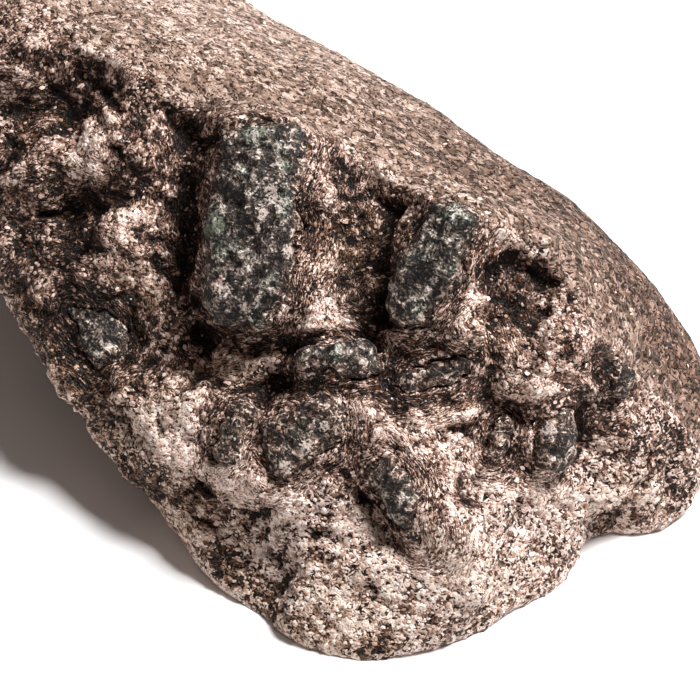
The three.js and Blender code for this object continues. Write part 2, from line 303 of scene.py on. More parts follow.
# Ridges and grooves of the broken face: (height, half width, stops across and up the view).
face_lines = [
    (0.7, 1.1, crest_line[2:14]),
    (-0.7, 1.6, [(stop[0], stop[1] - 2.8) for stop in crest_line[3:14]]),
    (0.7, 0.8, [(12, 8.5), (11.6, 4.5), (10.6, 0.5)]),
    (0.8, 0.7, [(21.2, 5.5), (20, -1), (18.6, -5), (18, -9.5)]),
    (0.6, 0.8, [(5, -9), (8.8, -13.5), (10.8, -18)]),
    (0.6, 1.3, [(-14, -12), (-7, -15), (1, -17), (5, -21)]),
    (0.5, 0.9, [(-3.6, 20.5), (-2.6, 15), (-2.2, 7), (-3.8, 2.6)]),
    (0.5, 0.9, [(-3.5, 2.4), (0, 1.4), (4.6, 1.2)]),
    (0.5, 0.8, [(13, 9.5), (17, 11), (20.5, 8)]),
    (0.4, 0.7, [(9, -7), (13, -6), (17, -9.5)]),
    (0.5, 0.8, [(-27, 22.5), (-21.5, 20.5), (-19, 16)]),
    (0.5, 0.9, [(-31, 10.5), (-25.5, 8.6), (-21, 10)]),
    (0.9, 1.2, [(-23, -5), (-20, -9), (-16.4, -11.6), (-12.4, -12.6)]),
    (0.7, 0.9, [(-24, -12), (-19.6, -15.6), (-15, -19)]),
    (-1.4, 1.3, [(-16.6, 22.5), (-17, 15), (-16.4, 6), (-15.2, 2)]),
    (-0.9, 1.1, [(-15, 1.2), (-9.5, 0.2), (-4.6, 0.6)]),
    (-1.0, 1.2, [(4, 14), (3.4, 8), (4.4, 2.6)]),
    (3.6, 1.0, [(2, -12.5), (4.4, -16.5), (6.8, -19.8)]),
    (-0.3, 1.4, [(13.4, 9), (15, 5), (18, 2.6)]),
    (0.45, 0.6, [(14.6, 9.4), (16, 6), (18.6, 4.2), (20.4, 4.6)]),
    (0.3, 0.5, [(13, 5.4), (15.6, 3.4), (17.6, 1)]),
    (-0.7, 0.5, [(17.6, 8.4), (19.6, 6.4), (21.2, 6.6)]),
    (-0.8, 1.1, [(-7, -3.2), (-2, -4.2), (4, -4.6), (10, -5)]),
    (-0.5, 0.9, [(-16, -16), (-12, -20), (-8.4, -24)]),
    (-0.8, 0.9, [(-8.6, -4), (-9.2, -8), (-7.6, -12)]),
    (-0.7, 0.9, [(14.5, -1), (13.6, -5), (17.2, -11.6)]),
    (-0.7, 0.9, [(23.4, -4.4), (23.4, -9), (21.6, -13)]),
    (-0.2, 1.1, [(-33, 17), (-26, 15.5), (-21.5, 15)]),
    (1.0, 1.8, [(-27, 27.6), (-23.6, 27)]),
    (0.7, 1.5, [(-28.5, 16.4), (-25, 15.6)]),
    (0.6, 0.6, [(-30, 30), (-26, 26), (-23.6, 21.6)]),
    (0.5, 0.5, [(-24.6, 13), (-22, 10.4), (-18.8, 9.6)]),
    (-0.6, 1.0, [(-29, 1.5), (-25, -3.4), (-20.5, -6)]),
    (-0.6, 1.0, [(-22, -9), (-17, -10.2), (-13, -5)]),
]
# Spots of colour on the broken face: (across, up, radius, strength).
dark_spots = [
    (-26, 18, 13, 0.8), (-30, 27, 7, 0.5), (-20, 24, 6, 0.6), (-17.5, 14, 3.4, 1), (-15, 3, 5, 0.9),
    (-25, 1, 7, 1), (-21, -4, 3, 0.6), (-20.5, -12.5, 2.6, 0.8), (-15, -14, 2.2, 0.8),
    (-34, 12, 6, 0.8), (-29, 12.4, 5.2, 1.5), (-26.4, 3, 5.4, 1.4), (-9.6, 13.2, 12, 0.75),
    (8.4, 8.4, 7.5, 0.9), (-4.6, -8.4, 5.5, 0.4), (-11.5, -8, 3.5, 0.7), (-2, -1, 5, 0.7),
    (5.5, -2.5, 5, 0.65), (2.4, 4.5, 3.6, 1), (16.2, 6.8, 5, 1), (12, 1, 4, 0.6), (1, 12, 5, 0.7),
    (21, 6, 3, 0.6), (27, -2.5, 3, 1), (21, -9, 4, 0.8), (15, -9.5, 2.6, 0.9), (17, -12.6, 1.8, 0.8),
    (24, -6, 3, 0.5), (4, -13.5, 3, 0.5), (11.3, -15.3, 1.2, 0.9), (33, -15, 2.6, 0.5),
    (24.4, 1.4, 3, 0.8), (21.6, 2.2, 2.4, 0.4), (2.5, -30.4, 2.4, 0.9), (31, -9.5, 5, 0.5),
    (29, -9, 3, 0.6), (8, 16, 4, 0.4), (-9, 21, 5, 0.6), (1.5, 14, 3.5, 0.5), (1.2, 8, 3.4, 0.8),
    (17.6, 3.4, 3.2, 0.9),
]
pale_spots = [
    (-12, -12.5, 4, 0.8), (-5, -15, 4, 0.9), (1, -18, 4, 0.9), (7, -22, 7, 0.7), (16, -19, 8, 0.65),
    (22, -15, 5, 0.7), (12, -11.5, 4.2, 0.75), (17, -15, 4, 0.7), (-1, 2.6, 2.6, 1), (-3.4, 9, 1.6, 0.5),
    (-2, 14, 2, 0.6), (12.2, 6, 1.7, 0.9), (19.5, -3, 1.6, 0.8), (-27.5, 20.5, 4, 1.2),
    (-23, 13.5, 3.2, 0.6), (-31.5, 7, 2, 0.5), (-21, 7, 2.4, 0.5), (-19, -9.5, 5.5, 1.3),
    (-5, -9.5, 3.4, 1.1), (-17, -19, 5, 0.7), (26, -12, 4, 0.5), (-3.5, -9, 2, 0.7),
    (16, 11.6, 2.2, 0.7), (-7, -21, 5, 0.6), (3.5, -7.5, 2, 0.6), (0, -5, 2, 0.6),
    (-14, -16, 5, 0.6), (-2, -26, 6, 0.7), (-2.4, 3.6, 2.6, 1.2), (31, -12, 3, 0.4),
]
brown_spots = [
    (0, -27, 9, 0.8), (-14, -18, 8, 0.6), (-22, -6, 6, 0.6), (0.5, 11, 5, 0.8), (-12, 0, 5, 0.8),
    (-22, 6, 4, 0.9), (15, 2, 4, 0.5), (13, -24, 7, 0.5), (28, -16, 5, 0.5), (10, -6, 3, 0.4),
]
# Where the rock is granular, where it is even, and its rim at the lower left, which is painted browner
# and darker: painted shade where the edge turns under.
granular_spots = [
    (9, -22, 16, 1), (22, -15, 9, 1), (-6, -21, 10, 0.9), (32, -10, 7, 1), (-20, -9, 6, 0.6),
]
even_spots = [(12, -23, 13, 1)]
low_rim_line = [(-34, 5.5), (-29.5, -1.5), (-24, -8.8), (-17.5, -17.2), (-10, -24.4), (-4, -28.8)]

solid = bpy.data.meshes.new("schist_start")
all_solids = bmesh.new()
for node_name in ["schist_matrix", *crystal_names]:
    one_solid = merged_copy(node_name)
    one_solid.to_mesh(solid)
    one_solid.free()
    all_solids.from_mesh(solid)
all_solids.to_mesh(solid)
all_solids.free()
fused = remeshed(solid, body_voxel, body_wear)

fine = bmesh.new()
fine.from_mesh(fused)
edges_seen = [
    edge for edge in fine.edges
    if all(face.normal.dot(towards) > least_facing for face in edge.link_faces)
    and (edge.verts[0].co - view_middle).dot(across) > farthest_left
    and edge.verts[0].co.z > foot_height
]
bmesh.ops.subdivide_edges(fine, edges=edges_seen, cuts=1, use_grid_fill=True)
bmesh.ops.triangulate(fine, faces=[face for face in fine.faces if len(face.verts) > 4])
fine.normal_update()
fine.to_mesh(fused)
fine.free()

# The broken side lies in front of a slanting plane and, as it is seen, below the crest.
points = points_of(fused)
normals = normals_of(fused)
right, high = place_on_face(points)
x, y, z = (points - np.array(near_corner) * 1000).T
crest_here = np.interp(right, *zip(*crest_line))
shoulder_here = np.interp(right, *zip(*shoulder_line))
ragged = 0.8 * cloud(points, 3.1, 61) + 0.5 * cloud(points, 1.2, 62)
in_front = ramp(broken_depth + 0.17 * x - 0.12 * (z - 12) - y, -1, 3)
broken = in_front * ramp(crest_here - high + ragged, -1.2, 1.2)
from_crystal, way_out = outside_crystals(points)
granular = patches(right, high, granular_spots)
fibrous = broken * (1 - ramp(from_crystal + 1.8 * cloud(points, 3.6, 91), 1.2, 4.4))
fibrous = np.maximum(fibrous, broken * (1 - granular) * (0.62 + 0.4 * cloud(points, 2.4, 92)))
bare = bare_crystal(points, from_crystal)[0]
above_foot = ramp(z, 0.1, 1.5)
dark = patches(right, high, dark_spots) * broken
pale = patches(right, high, pale_spots) * broken
brown = patches(right, high, brown_spots) * broken

# Knobs, lumps and grains of three sizes, with the ridges and grooves between them.
warped = points + 0.9 * np.stack([cloud(points, 2.6, k) for k in (8, 9, 10)], axis=1)
rough = broken * (0.3 + 0.7 * ramp(z, 1.5, 9)) * (1 - 0.6 * patches(right, high, even_spots))
rough *= 0.45 + 0.55 * ramp(from_crystal, 0.2, 2.4)
knob, knob_number = domes(warped, knob_size, 11)
lump, lump_number = domes(warped, lump_size, 23)
grain, grain_number = domes(points, grain_size, 37)
height = rough * knob_height * knob * (0.4 + knob_number)
height += (0.15 + 0.85 * rough) * lump_height * lump * (0.3 + 0.9 * lump_number)
height += (0.6 + 0.4 * broken) * grain_height * grain * (0.3 + grain_number)
height += rough * strokes(right, high, face_lines) * (0.8 + 0.4 * cloud(points, 2.2, 12))
height += 0.1 * cloud(points, 1.4, 6) + 0.2 * (1 - broken) * cloud(points, (8, 5, 5), 7)

# Leaves of mica bend round each crystal, and stand as fine ribs beside it.
leaf = from_crystal + 0.25 * cloud(points, 2.5, 15)
leaf += 1.2 * cloud(points, 5.0, 16) * ramp(from_crystal, 2, 7)
wrap = (1 - ramp(from_crystal, 1.2, 4.5)) * broken
height += wrap * rib_height * np.sin(leaf * 2 * np.pi / rib_spacing + 2.2 * cloud(points, 1.6, 17))
height += 0.1 * (1 - bare) * (1 - ramp(from_crystal, 0.2, 1)) - 1.3 * bare

moved = points + normals * (height * above_foot)[:, None]
moved[:, 2] = np.maximum(moved[:, 2], 0)
fused.vertices.foreach_set("co", (moved / 1000).ravel())
fused.update()
sunk = depth_under_smooth(fused, moved, normals, small_hollows)
deep = depth_under_smooth(fused, moved, normals, broad_hollows)

# The mica lies along the bedding, and bends round the crystals.
bedding = np.array([-0.1, 0.35, 0.93])
across_leaves = bedding * (1 - fibrous)[:, None] + way_out * fibrous[:, None]
along = np.cross(normals, across_leaves)
along /= np.linalg.norm(along, axis=1)[:, None] + 1e-6

# How much of the rock is pale: more on what stands out, less beside the crystals, and less in hollows,
# which is painted shade.
swell = 0.14 * cloud(points, 3.4, 71) + 0.18 * cloud(points, 1.5, 72) + 0.14 * cloud(points, 0.8, 73)
# Paler on worn crowns, and darker in hollows, where the darkening is painted shade.
worn_crowns_and_hollow_shade = 0.18 * ramp(-sunk, 0.05, 0.4) - 0.26 * ramp(sunk, 0.02, 0.4)
worn_crowns_and_hollow_shade += 0.18 * ramp(-deep, 0.1, 1.1) - 0.26 * ramp(deep, 0.05, 0.9)
beside = (1 - ramp(from_crystal + 0.8 * cloud(points, 1.8, 93), 0.5, 2.6)) * (1 - 0.7 * pale)
# A browner band along the lower-left rim, with painted shade darkening it where the edge turns under.
shaded_low_rim = strokes(right, high, [(1, 1.7, low_rim_line)]) * broken
brown = np.maximum(brown, 0.9 * shaded_low_rim)
broken_share = 0.5 - 0.26 * shaded_low_rim + 0.34 * pale - 0.36 * dark + 0.08 * brown
broken_share = broken_share - 0.2 * beside + swell + worn_crowns_and_hollow_shade
worn_share = 0.38 + 0.2 * ramp(-right, -14, 22) + 0.4 * swell
worn_share += 0.22 * ramp(high - crest_here, 3, 10) * (1 - ramp(right, -2, 14))
worn_share += 0.16 * (1 - ramp(high - crest_here, 1, 5)) * ramp(right, -12, 0)
pale_share = np.clip(broken_share * broken + worn_share * (1 - broken), 0, 1)
back_of_crest = ramp(high - shoulder_here + 2 * ragged, -2, 4) * (1 - broken)
clear_of_foot = ramp(z, 0.4, 1.6)
for name, values in dict(
    broken=broken,
    brown=brown,
    darker_brown_back=back_of_crest * ramp(right, 9, 24),
    pale_share=pale_share,
    sunk=np.clip(sunk + 0.3 * deep, -1, 1),
    leaf=leaf,
    fibrous=fibrous,
    open_rock=(1 - bare) * clear_of_foot * np.where(broken > 0.02, 1, 0.35),
).items():
    keep_on_mesh(fused, name, values)
fused.polygons.foreach_set("use_smooth", [True] * len(fused.polygons))

schist = new_object("schist_body", fused)


def feed(tree, socket, value):
    """Links an output to an input, or sets the input to a value."""
    if isinstance(value, bpy.types.NodeSocket):
        tree.links.new(value, socket)
    else:
        socket.default_value = value


def add_node(tree, kind, sockets=None, **settings):
    """Adds a node, sets it up, and feeds its inputs by name or number."""
    made = tree.nodes.new(kind)
    for name, value in settings.items():
        setattr(made, name, value)
    for name, value in (sockets or {}).items():
        feed(tree, made.inputs[name], value)
    return made


def new_group(name, kind, inputs, outputs):
    """An empty node group whose sockets have the given kinds, and what its inputs give."""
    made = bpy.data.node_groups.new(name, kind)
    for way, sockets in (("INPUT", inputs), ("OUTPUT", outputs)):
        for socket_name, value_kind in sockets.items():
            made.interface.new_socket(socket_name, in_out=way, socket_type="NodeSocket" + value_kind)
    return made, made.nodes.new("NodeGroupInput").outputs


def maths(tree, operation, *values):
    """The output of a Math node."""
    return add_node(tree, "ShaderNodeMath", dict(enumerate(values)), operation=operation).outputs[0]


def summed(tree, start, *parts):
    """A start value with some parts added, each (value, weight)."""
    total = start
    for value, weight in parts:
        total = maths(tree, "MULTIPLY_ADD", value, weight, total)
    return total


def mixed(tree, factor, first, second):
    """A colour between two colours."""
    sockets = {0: factor, 6: first, 7: second}
    return add_node(tree, "ShaderNodeMix", sockets, data_type="RGBA").outputs[2]


def mixed_value(tree, factor, first, second):
    """A number between two numbers."""
    return add_node(tree, "ShaderNodeMix", {0: factor, 2: first, 3: second}).outputs[0]


def between(tree, value, low, high):
    """0 to 1 as the value runs from low to high, held at both ends."""
    return add_node(
        tree, "ShaderNodeMapRange", {0: value, 1: low, 2: high}, interpolation_type="SMOOTHSTEP"
    ).outputs[0]


def stretched(tree, vector, by):
    """A vector scaled by its own factor along each axis."""
    return add_node(tree, "ShaderNodeVectorMath", {0: vector, 1: by}, operation="MULTIPLY").outputs[0]


def noise_of(tree, vector, scale, detail=2.0):
    """A noise value."""
    return add_node(
        tree, "ShaderNodeTexNoise", {"Vector": vector, "Scale": scale, "Detail": detail}
    ).outputs["Fac"]


def cells_of(tree, vector, scale):
    """How far each place is from the middle of its cell, and three numbers of that cell."""
    cells = add_node(tree, "ShaderNodeTexVoronoi", {"Vector": vector, "Scale": scale})
    numbers = add_node(tree, "ShaderNodeSeparateColor", {0: cells.outputs["Color"]})
    return cells.outputs["Distance"], numbers.outputs


def read_out(tree, name):
    """A number kept on the mesh."""
    return add_node(tree, "ShaderNodeAttribute", attribute_name=name).outputs["Fac"]


def colour(code):
    """A screen colour such as "c8b0a0" as the linear values that a shader takes."""
    parts = [int(code[i : i + 2], 16) / 255 for i in (0, 2, 4)]
    linear = [p / 12.92 if p <= 0.04045 else ((p + 0.055) / 1.055) ** 2.4 for p in parts]
    return (*linear, 1)


def toned(tree, value, codes, steps=(0.0, 0.25, 0.45, 0.62, 0.8, 1.0)):
    """A colour that runs through some screen colours as the value runs through the steps."""
    made = add_node(tree, "ShaderNodeValToRGB", {0: value})
    run = made.color_ramp.elements
    run.remove(run[1])
    run[0].position = steps[0]
    run[0].color = colour(codes[0])
    for step, code in zip(steps[1:], codes[1:]):
        run.new(step).color = colour(code)
    return made.outputs[0]


def new_material(name):
    """A material with an empty tree."""
    made = bpy.data.materials.new(name)
    made.use_nodes = True
    made.node_tree.nodes.clear()
    return made, made.node_tree


def place_in_mm(tree):
    """The place on the piece, in millimetres."""
    place = add_node(tree, "ShaderNodeTexCoord").outputs["Object"]
    grown = add_node(tree, "ShaderNodeVectorMath", {0: place, "Scale": 1000}, operation="SCALE")
    return grown.outputs[0]


def coat(tree, tint, roughness, specular, relief=None, relief_depth=0.0, relief_strength=0.9):
    """Ends a material with its shader, and with fine relief where some is given."""
    sockets = {"Base Color": tint, "Roughness": roughness, "Specular IOR Level": specular}
    if relief is not None:
        sockets["Normal"] = add_node(tree, "ShaderNodeBump", {
            "Height": relief,
            "Distance": relief_depth,
            "Strength": relief_strength,
        }).outputs[0]
    shader = add_node(tree, "ShaderNodeBsdfPrincipled", sockets)
    add_node(tree, "ShaderNodeOutputMaterial", {"Surface": shader.outputs[0]})


# The rock's grain, as one node group: a value round 0.5 that is high on pale flakes and low on dark
# ones. It is fibrous beside the crystals, where the leaves bend, and granular away from them. Its
# flakes and its two sizes of grains are cells, in a place that is stirred a little.
flakes_in_mm, grains_in_mm, finest_in_mm = 1.6, 4.2, 8.5
ribs_in_mm = 7.5
rock_grain, given = new_group(
    "rock_grain", "ShaderNodeTree",
    dict(Place="Vector", Leaf="Float", Share="Float", Fibrous="Float"),
    dict(Value="Float", Number="Float", Relief="Float"),
)
stir = add_node(
    rock_grain, "ShaderNodeTexNoise", {"Vector": given["Place"], "Scale": 0.9, "Detail": 2.0}
)
stirred = add_node(
    rock_grain, "ShaderNodeVectorMath",
    {0: stir.outputs["Color"], 1: (1.5, 1.5, 1.5), 2: given["Place"]}, operation="MULTIPLY_ADD",
).outputs[0]
leafward = stretched(rock_grain, stirred, (0.7, 1, 1))
flake_distance, flake_number = cells_of(rock_grain, leafward, flakes_in_mm)
small_distance, small_number = cells_of(rock_grain, leafward, grains_in_mm)
finest_number = cells_of(rock_grain, leafward, finest_in_mm)[1]
flake_part = maths(rock_grain, "SUBTRACT", flake_number[0], 0.5)
small_part = maths(rock_grain, "SUBTRACT", small_number[1], 0.5)
finest_part = maths(rock_grain, "SUBTRACT", finest_number[0], 0.5)

# Streaks follow the bent leaves beside the crystals, and the bedding away from them.
leaf_step = add_node(
    rock_grain, "ShaderNodeCombineXYZ", {0: maths(rock_grain, "MULTIPLY", given["Leaf"], ribs_in_mm)}
).outputs[0]
near_place = add_node(
    rock_grain, "ShaderNodeVectorMath",
    {0: stretched(rock_grain, stirred, (2.2, 2.2, 2.2)), 1: leaf_step}, operation="ADD",
).outputs[0]
near_streaks = noise_of(rock_grain, near_place, 1.0, 3.0)
far_streaks = noise_of(rock_grain, stretched(rock_grain, stirred, (2.2, 6.5, 6.5)), 1.0, 3.0)
streaks = mixed_value(rock_grain, given["Fibrous"], far_streaks, near_streaks)
streaks = maths(rock_grain, "SUBTRACT", streaks, 0.5)

fibre = summed(
    rock_grain, 0.0, (streaks, 2.8), (flake_part, 0.28), (small_part, 0.36), (finest_part, 0.2)
)
speck_limit = summed(rock_grain, 0.62, (given["Share"], 0.16))
past_limit = maths(rock_grain, "SUBTRACT", small_number[0], speck_limit)
dark_speck = between(rock_grain, past_limit, -0.01, 0.01)
grains = summed(
    rock_grain, 0.16, (streaks, 0.7), (flake_part, 0.78), (small_part, 0.24), (finest_part, 0.24),
    (dark_speck, -0.75),
)
pattern = mixed_value(rock_grain, given["Fibrous"], grains, fibre)
pattern = summed(rock_grain, pattern, (given["Share"], 0.8))
add_node(rock_grain, "NodeGroupOutput", {
    "Value": maths(rock_grain, "ADD", pattern, 0.1),
    "Number": small_number[2],
    "Relief": summed(rock_grain, streaks, (flake_distance, -0.5), (small_distance, -0.3)),
})

schist_material, tree = new_material("mica_schist")
grain_here = add_node(tree, "ShaderNodeGroup", {
    "Place": place_in_mm(tree),
    "Leaf": read_out(tree, "leaf"),
    "Share": read_out(tree, "pale_share"),
    "Fibrous": read_out(tree, "fibrous"),
}, node_tree=rock_grain).outputs
value = grain_here["Value"]
calm_value = summed(tree, 0.13, (value, 0.72))
grey_rock = toned(tree, value, ("080504", "261914", "62483c", "a38070", "dfc1b3", "fcebe2"))
brown_rock = toned(tree, value, ("0a0604", "2e1e14", "6a4d3a", "a17f69", "d6b9a5", "f6e4d6"))
worn_rock = toned(tree, calm_value, ("2b1e17", "54433a", "7c6557", "a08474", "c4a798", "ead6ca"))
back_rock = toned(
    tree, calm_value, ("1b110b", "3d2b22", "675044", "947363", "bd9a87", "e3c6b4"),
    steps=(0.0, 0.3, 0.5, 0.7, 0.85, 1.0),
)
broken_rock = mixed(tree, read_out(tree, "brown"), grey_rock, brown_rock)
# Beyond the shoulder, towards the right, the worn top turns a darker brown.
worn_rock = mixed(tree, read_out(tree, "darker_brown_back"), worn_rock, back_rock)
rock = mixed(tree, read_out(tree, "broken"), worn_rock, broken_rock)
# A few grains are painted orange-brown, as painted glints of the mica.
painted_orange_glint = maths(tree, "MULTIPLY", between(tree, grain_here["Number"], 0.965, 0.975), 0.5)
rock = mixed(tree, painted_orange_glint, rock, colour("7a4522"))
# Painted shade: the rock is darkened towards near black in its hollows, where shade falls.
painted_crease_shade = maths(tree, "MULTIPLY", between(tree, read_out(tree, "sunk"), 0.0, 0.5), 0.42)
rock = mixed(tree, painted_crease_shade, rock, colour("0e0805"))
roughness = between(tree, grain_here["Number"], -0.6, 1.4)
coat(tree, rock, roughness, specular=0.2, relief=grain_here["Relief"], relief_depth=0.00035)
fused.materials.append(schist_material)

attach(schist, "root")
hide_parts("schist_matrix")


# The alexandrite crystals
# Stubby dark crystals, worn and pitted like the rock that has grown round the foot of each. Each is
# its CAD solid made fine, rounded a little, and roughened with knobs, pits and ridges. The rock's
# own flakes cling to it low down and thin out towards its top.
crystal_voxel, crystal_wear, crystal_hollows = 0.00028, 5, 24
crystal_swell, crystal_knob, crystal_ridge, crystal_pit = 3.3, 2.1, 1.6, 0.9
crystal_skins = []
# How much more, or less, of the rock clings to some of them.
crusted = dict(
    crystal_cluster=0.34,
    crystal_left=-0.3,
    crystal_low_left=0.15,
    crystal_pea=0.2,
    crystal_right=0.12,
)
# Patches of feldspar on them, and of a greener tint: (across, up, radius, strength).
feldspar_spots = [
    (-8, 16.2, 1, 1), (-7.7, 15.4, 0.8, 0.9), (-8.8, 13.8, 0.8, 0.9), (-6.2, 10, 0.9, 1),
    (-13, 6.4, 0.9, 1), (-12.2, 6.2, 0.7, 0.8), (-14.6, 19.6, 0.6, 0.8), (-10.6, 4.2, 0.8, 0.8),
    (-5.6, 4, 0.8, 0.8), (-11.4, 17.6, 0.6, 0.7), (-9.6, 9, 0.5, 0.8), (8.4, 7, 0.6, 0.8),
    (-4.4, -9.6, 1, 0.9), (-2.6, -7.6, 0.8, 0.8), (6.6, -13, 0.7, 0.8), (8.4, -17, 0.7, 0.8),
    (20, -8, 0.9, 0.9), (21.4, -5.6, 0.6, 0.8), (-7, -6, 0.9, 0.9), (-1, -11, 0.8, 0.9),
    (-6.4, -11.4, 0.8, 0.8), (0.2, -8.4, 0.7, 0.8),
]
green_spots = [
    (-13.8, 12.6, 2, 1), (-13, 10.2, 1.4, 0.8), (-9.8, 23, 3.4, 0.7), (-6, 15.6, 2.2, 0.6),
    (9, 10, 3, 0.4), (-4, -6, 3, 0.4),
]

crystal_material, tree = new_material("alexandrite")
in_mm = place_in_mm(tree)
clouding = noise_of(tree, in_mm, 0.3, 2.0)
mottle = maths(tree, "SUBTRACT", noise_of(tree, in_mm, 0.75, 8.0), 0.5)
fine_mottle = maths(tree, "SUBTRACT", noise_of(tree, in_mm, 3.6, 5.0), 0.5)
crust_here = add_node(tree, "ShaderNodeGroup", {
    "Place": in_mm,
    "Leaf": 0.0,
    "Share": 0.36,
    "Fibrous": 0.6,
}, node_tree=rock_grain).outputs["Value"]
value = summed(tree, -0.24, (mottle, 2.2), (clouding, 0.8), (fine_mottle, 1.0), (crust_here, 0.8))
grey_stone = toned(tree, value, ("060403", "1c1613", "463b35", "6f625a", "ab9b90", "eee2da"))
green_stone = toned(tree, value, ("050504", "171713", "393a32", "5e6055", "96958a", "ddd8ce"))
greenness = maths(tree, "ADD", between(tree, clouding, 0.50, 0.66), read_out(tree, "green"))
stone = mixed(tree, maths(tree, "MINIMUM", greenness, 1.0), grey_stone, green_stone)
tint_here = summed(tree, read_out(tree, "green"), (fine_mottle, 2.2))
tinted = maths(tree, "MULTIPLY", between(tree, tint_here, 0.5, 1.3), 0.5)
stone = mixed(tree, tinted, stone, colour("8a917a"))
crust = toned(tree, crust_here, ("080504", "241913", "5a463b", "997f70", "d9c3b6", "fbf1ea"))
crust_part = summed(tree, read_out(tree, "crust"), (mottle, 1.6))
stone = mixed(tree, between(tree, crust_part, 0.35, 0.75), stone, crust)
feldspar = summed(tree, read_out(tree, "feldspar"), (fine_mottle, 3.0))
pale_patch = maths(tree, "MULTIPLY", between(tree, feldspar, 0.35, 1.05), 0.85)
stone = mixed(tree, pale_patch, stone, colour("d8c6bc"))
# Painted shade: the crystal is darkened towards near black in its pits.
painted_pit_shade = maths(tree, "MULTIPLY", between(tree, read_out(tree, "sunk"), 0.0, 0.3), 0.6)
stone = mixed(tree, painted_pit_shade, stone, colour("080606"))
relief = summed(tree, mottle, (fine_mottle, 0.8))
roughness = between(tree, mottle, -1.0, 0.6)
coat(tree, stone, roughness, specular=0.3, relief=relief, relief_depth=0.0003)

for crystal_name in crystal_names:
    start = bpy.data.meshes.new(crystal_name + "_start")
    crystal_shape = merged_copy(crystal_name)
    crystal_shape.to_mesh(start)
    crystal_shape.free()
    worn = remeshed(start, crystal_voxel, crystal_wear)
    points = points_of(worn)
    normals = normals_of(worn)
    bare, over_rim = bare_crystal(points, np.zeros(len(points)))
    knob, knob_number = domes(points, crystal_knob, 51)
    pit, pit_number = domes(points, crystal_pit, 61)
    height = 0.2 + 0.4 * cloud(points, crystal_swell, 52) + 0.3 * knob * (0.3 + knob_number)
    height += 0.1 * pit * (0.3 + pit_number) + 0.12 * cloud(points, 0.7, 53)
    height += 0.4 * (0.4 - np.abs(cloud(points, crystal_ridge, 54)))
    height -= 0.45 * (1 - bare)
    moved = points + normals * height[:, None]
    worn.vertices.foreach_set("co", (moved / 1000).ravel())
    worn.update()
    right, high = place_on_face(points)
    for name, values in dict(
        sunk=np.clip(depth_under_smooth(worn, moved, normals, crystal_hollows), -1, 1),
        bare=bare,
        feldspar=patches(right, high, feldspar_spots),
        green=patches(right, high, green_spots),
        crust=0.95 - 0.7 * ramp(over_rim, 0.2, 2.6) + crusted.get(crystal_name, 0),
    ).items():
        keep_on_mesh(worn, name, values)
    worn.polygons.foreach_set("use_smooth", [True] * len(worn.polygons))
    worn.materials.append(crystal_material)
    piece = new_object(crystal_name + "_skin", worn)
    crystal_skins.append(worn)
    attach(piece, "root")
    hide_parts(crystal_name)


# The loose-edged flakes
# Mica splits into leaves, so the broken face is covered with small flakes that stand a little
# proud and catch the light: pale ones in drifts, dark ones between, and slivers where the leaves
# bend. Each is a thin ten-sided lens that lies along its leaf, and one node tree scatters them all.
square_mm_in_square_metre = 1e6
tilt_limit = Vector((0.4, 0.3, 0.4))
thickness_for_breadth = 0.35
flake_kinds = [
    # name, share kept on the mesh, flakes in a square millimetre, longest half length in metres,
    # narrowest and broadest for their length, seed, and three colours from dull to bright
    ("pale_flakes", "pale_flake", 6.5, 0.00036, 0.5, 0.9, 3, ("ab8875", "e5cbbd", "fcf0e8")),
    ("dark_flakes", "dark_flake", 3.2, 0.00028, 0.5, 0.9, 5, ("0b0705", "2a1c14", "5c4434")),
    ("pale_slivers", "sliver", 11.2, 0.00036, 0.09, 0.22, 7, ("4e372b", "a48471", "dfc6b8")),
]


def triangles_of(mesh):
    """A mesh's triangles as rows of vertex numbers."""
    mesh.calc_loop_triangles()
    flat = np.empty(len(mesh.loop_triangles) * 3, dtype=np.int64)
    mesh.loop_triangles.foreach_get("vertices", flat)
    return flat.reshape(-1, 3)


def kept(mesh, name):
    """A number kept on each vertex."""
    flat = np.empty(len(mesh.vertices), dtype=np.float32)
    mesh.attributes[name].data.foreach_get("value", flat)
    return flat


# One mesh of all that flakes lie on, with how thickly each kind lies at each vertex.
ground_points, ground_triangles, first = [], [], 0
pale_flake, dark_flake, sliver, shade, lie = [], [], [], [], []
for mesh in [fused, *crystal_skins]:
    ground_points.append(points_of(mesh) / 1000)
    ground_triangles.append(triangles_of(mesh) + first)
    first += len(mesh.vertices)
    if mesh is fused:
        open_rock = kept(mesh, "open_rock")
        amount = kept(mesh, "pale_share")
        face_share = 0.35 + 0.65 * kept(mesh, "broken")
        threaded = kept(mesh, "fibrous")
        pale_flake.append(
            open_rock * (0.08 + 0.92 * amount ** 1.4) * face_share ** 2 * (1 - 0.7 * threaded)
        )
        dark_flake.append(open_rock * (1 - amount) * face_share * (1 - 0.6 * threaded))
        sliver.append(open_rock * (0.06 + 0.94 * amount ** 1.3) * (threaded + 0.2 * (1 - threaded)))
        shade.append(np.clip(0.15 + 1.1 * amount, 0, 1))
        lie.append(along)
    else:
        at = points_of(mesh)
        crust = kept(mesh, "bare") * ramp(cloud(at, 2.2, 81) + 0.5 * cloud(at, 0.9, 82), 0.2, 0.8)
        pale_flake.append(0.12 * crust)
        dark_flake.append(0.4 * kept(mesh, "bare"))
        sliver.append(0.16 * crust)
        shade.append(np.full(len(at), 0.45))
        lie.append(np.cross(normals_of(mesh), bedding))
ground = bpy.data.meshes.new("flake_ground")
ground.from_pydata(
    np.concatenate(ground_points).tolist(), [], np.concatenate(ground_triangles).tolist()
)
for name, parts in dict(
    pale_flake=pale_flake, dark_flake=dark_flake, sliver=sliver, shade=shade, lie=lie
).items():
    keep_on_mesh(ground, name, np.concatenate(parts))


def random_value(tree, kind, low, high, seed):
    """The output of a Random Value node."""
    made = add_node(tree, "FunctionNodeRandomValue", {"Seed": seed}, data_type=kind)
    low_socket, high_socket = [socket for socket in made.inputs if socket.enabled][:2]
    feed(tree, low_socket, low)
    feed(tree, high_socket, high)
    return next(socket for socket in made.outputs if socket.enabled)


